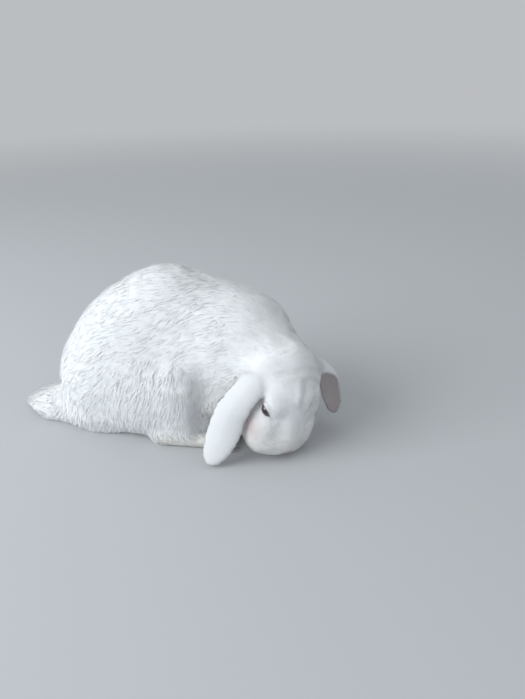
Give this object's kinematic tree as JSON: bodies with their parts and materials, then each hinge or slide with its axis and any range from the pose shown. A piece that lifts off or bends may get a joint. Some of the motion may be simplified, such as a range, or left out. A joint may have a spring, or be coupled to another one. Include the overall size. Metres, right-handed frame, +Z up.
{
  "type": "lop rabbit",
  "caption": "Still life-size model of a white lop-eared rabbit, crouched with its head lowered to sniff the floor and its ears hanging.",
  "frame": {"origin": "on the floor, under the centre of the box round the whole animal", "axes": "+X forwards along the trunk, from tail to breast; +Y to the animal's left; +Z up"},
  "size_m": [0.3736, 0.1612, 0.182],
  "materials": {
    "coat": "soft white fur with a cool grey undercoat",
    "ear": "short white fur over thin pinkish skin",
    "eye": "wet dark blue-grey eye",
    "claw": "pale translucent horn"
  },
  "bodies": {
    "root": {"head": "coat", "tail": "coat", "hind_foot_left": "coat", "foreleg_left": "coat", "hind_leg_left": "coat", "hind_foot_right": "coat", "foreleg_right": "coat", "hind_leg_right": "coat", "neck": "coat", "trunk": "coat", "eye_left": "eye", "eye_right": "eye", "ear_left": "ear", "ear_right": "ear", "claw_hind_left_1": "claw", "claw_hind_left_2": "claw", "claw_hind_left_3": "claw", "claw_hind_left_4": "claw", "claw_fore_left_1": "claw", "claw_fore_left_2": "claw", "claw_fore_left_3": "claw", "claw_fore_left_4": "claw", "claw_hind_right_1": "claw", "claw_hind_right_2": "claw", "claw_hind_right_3": "claw", "claw_hind_right_4": "claw", "claw_fore_right_1": "claw", "claw_fore_right_2": "claw", "claw_fore_right_3": "claw", "claw_fore_right_4": "claw"}
  },
  "joints": []
}
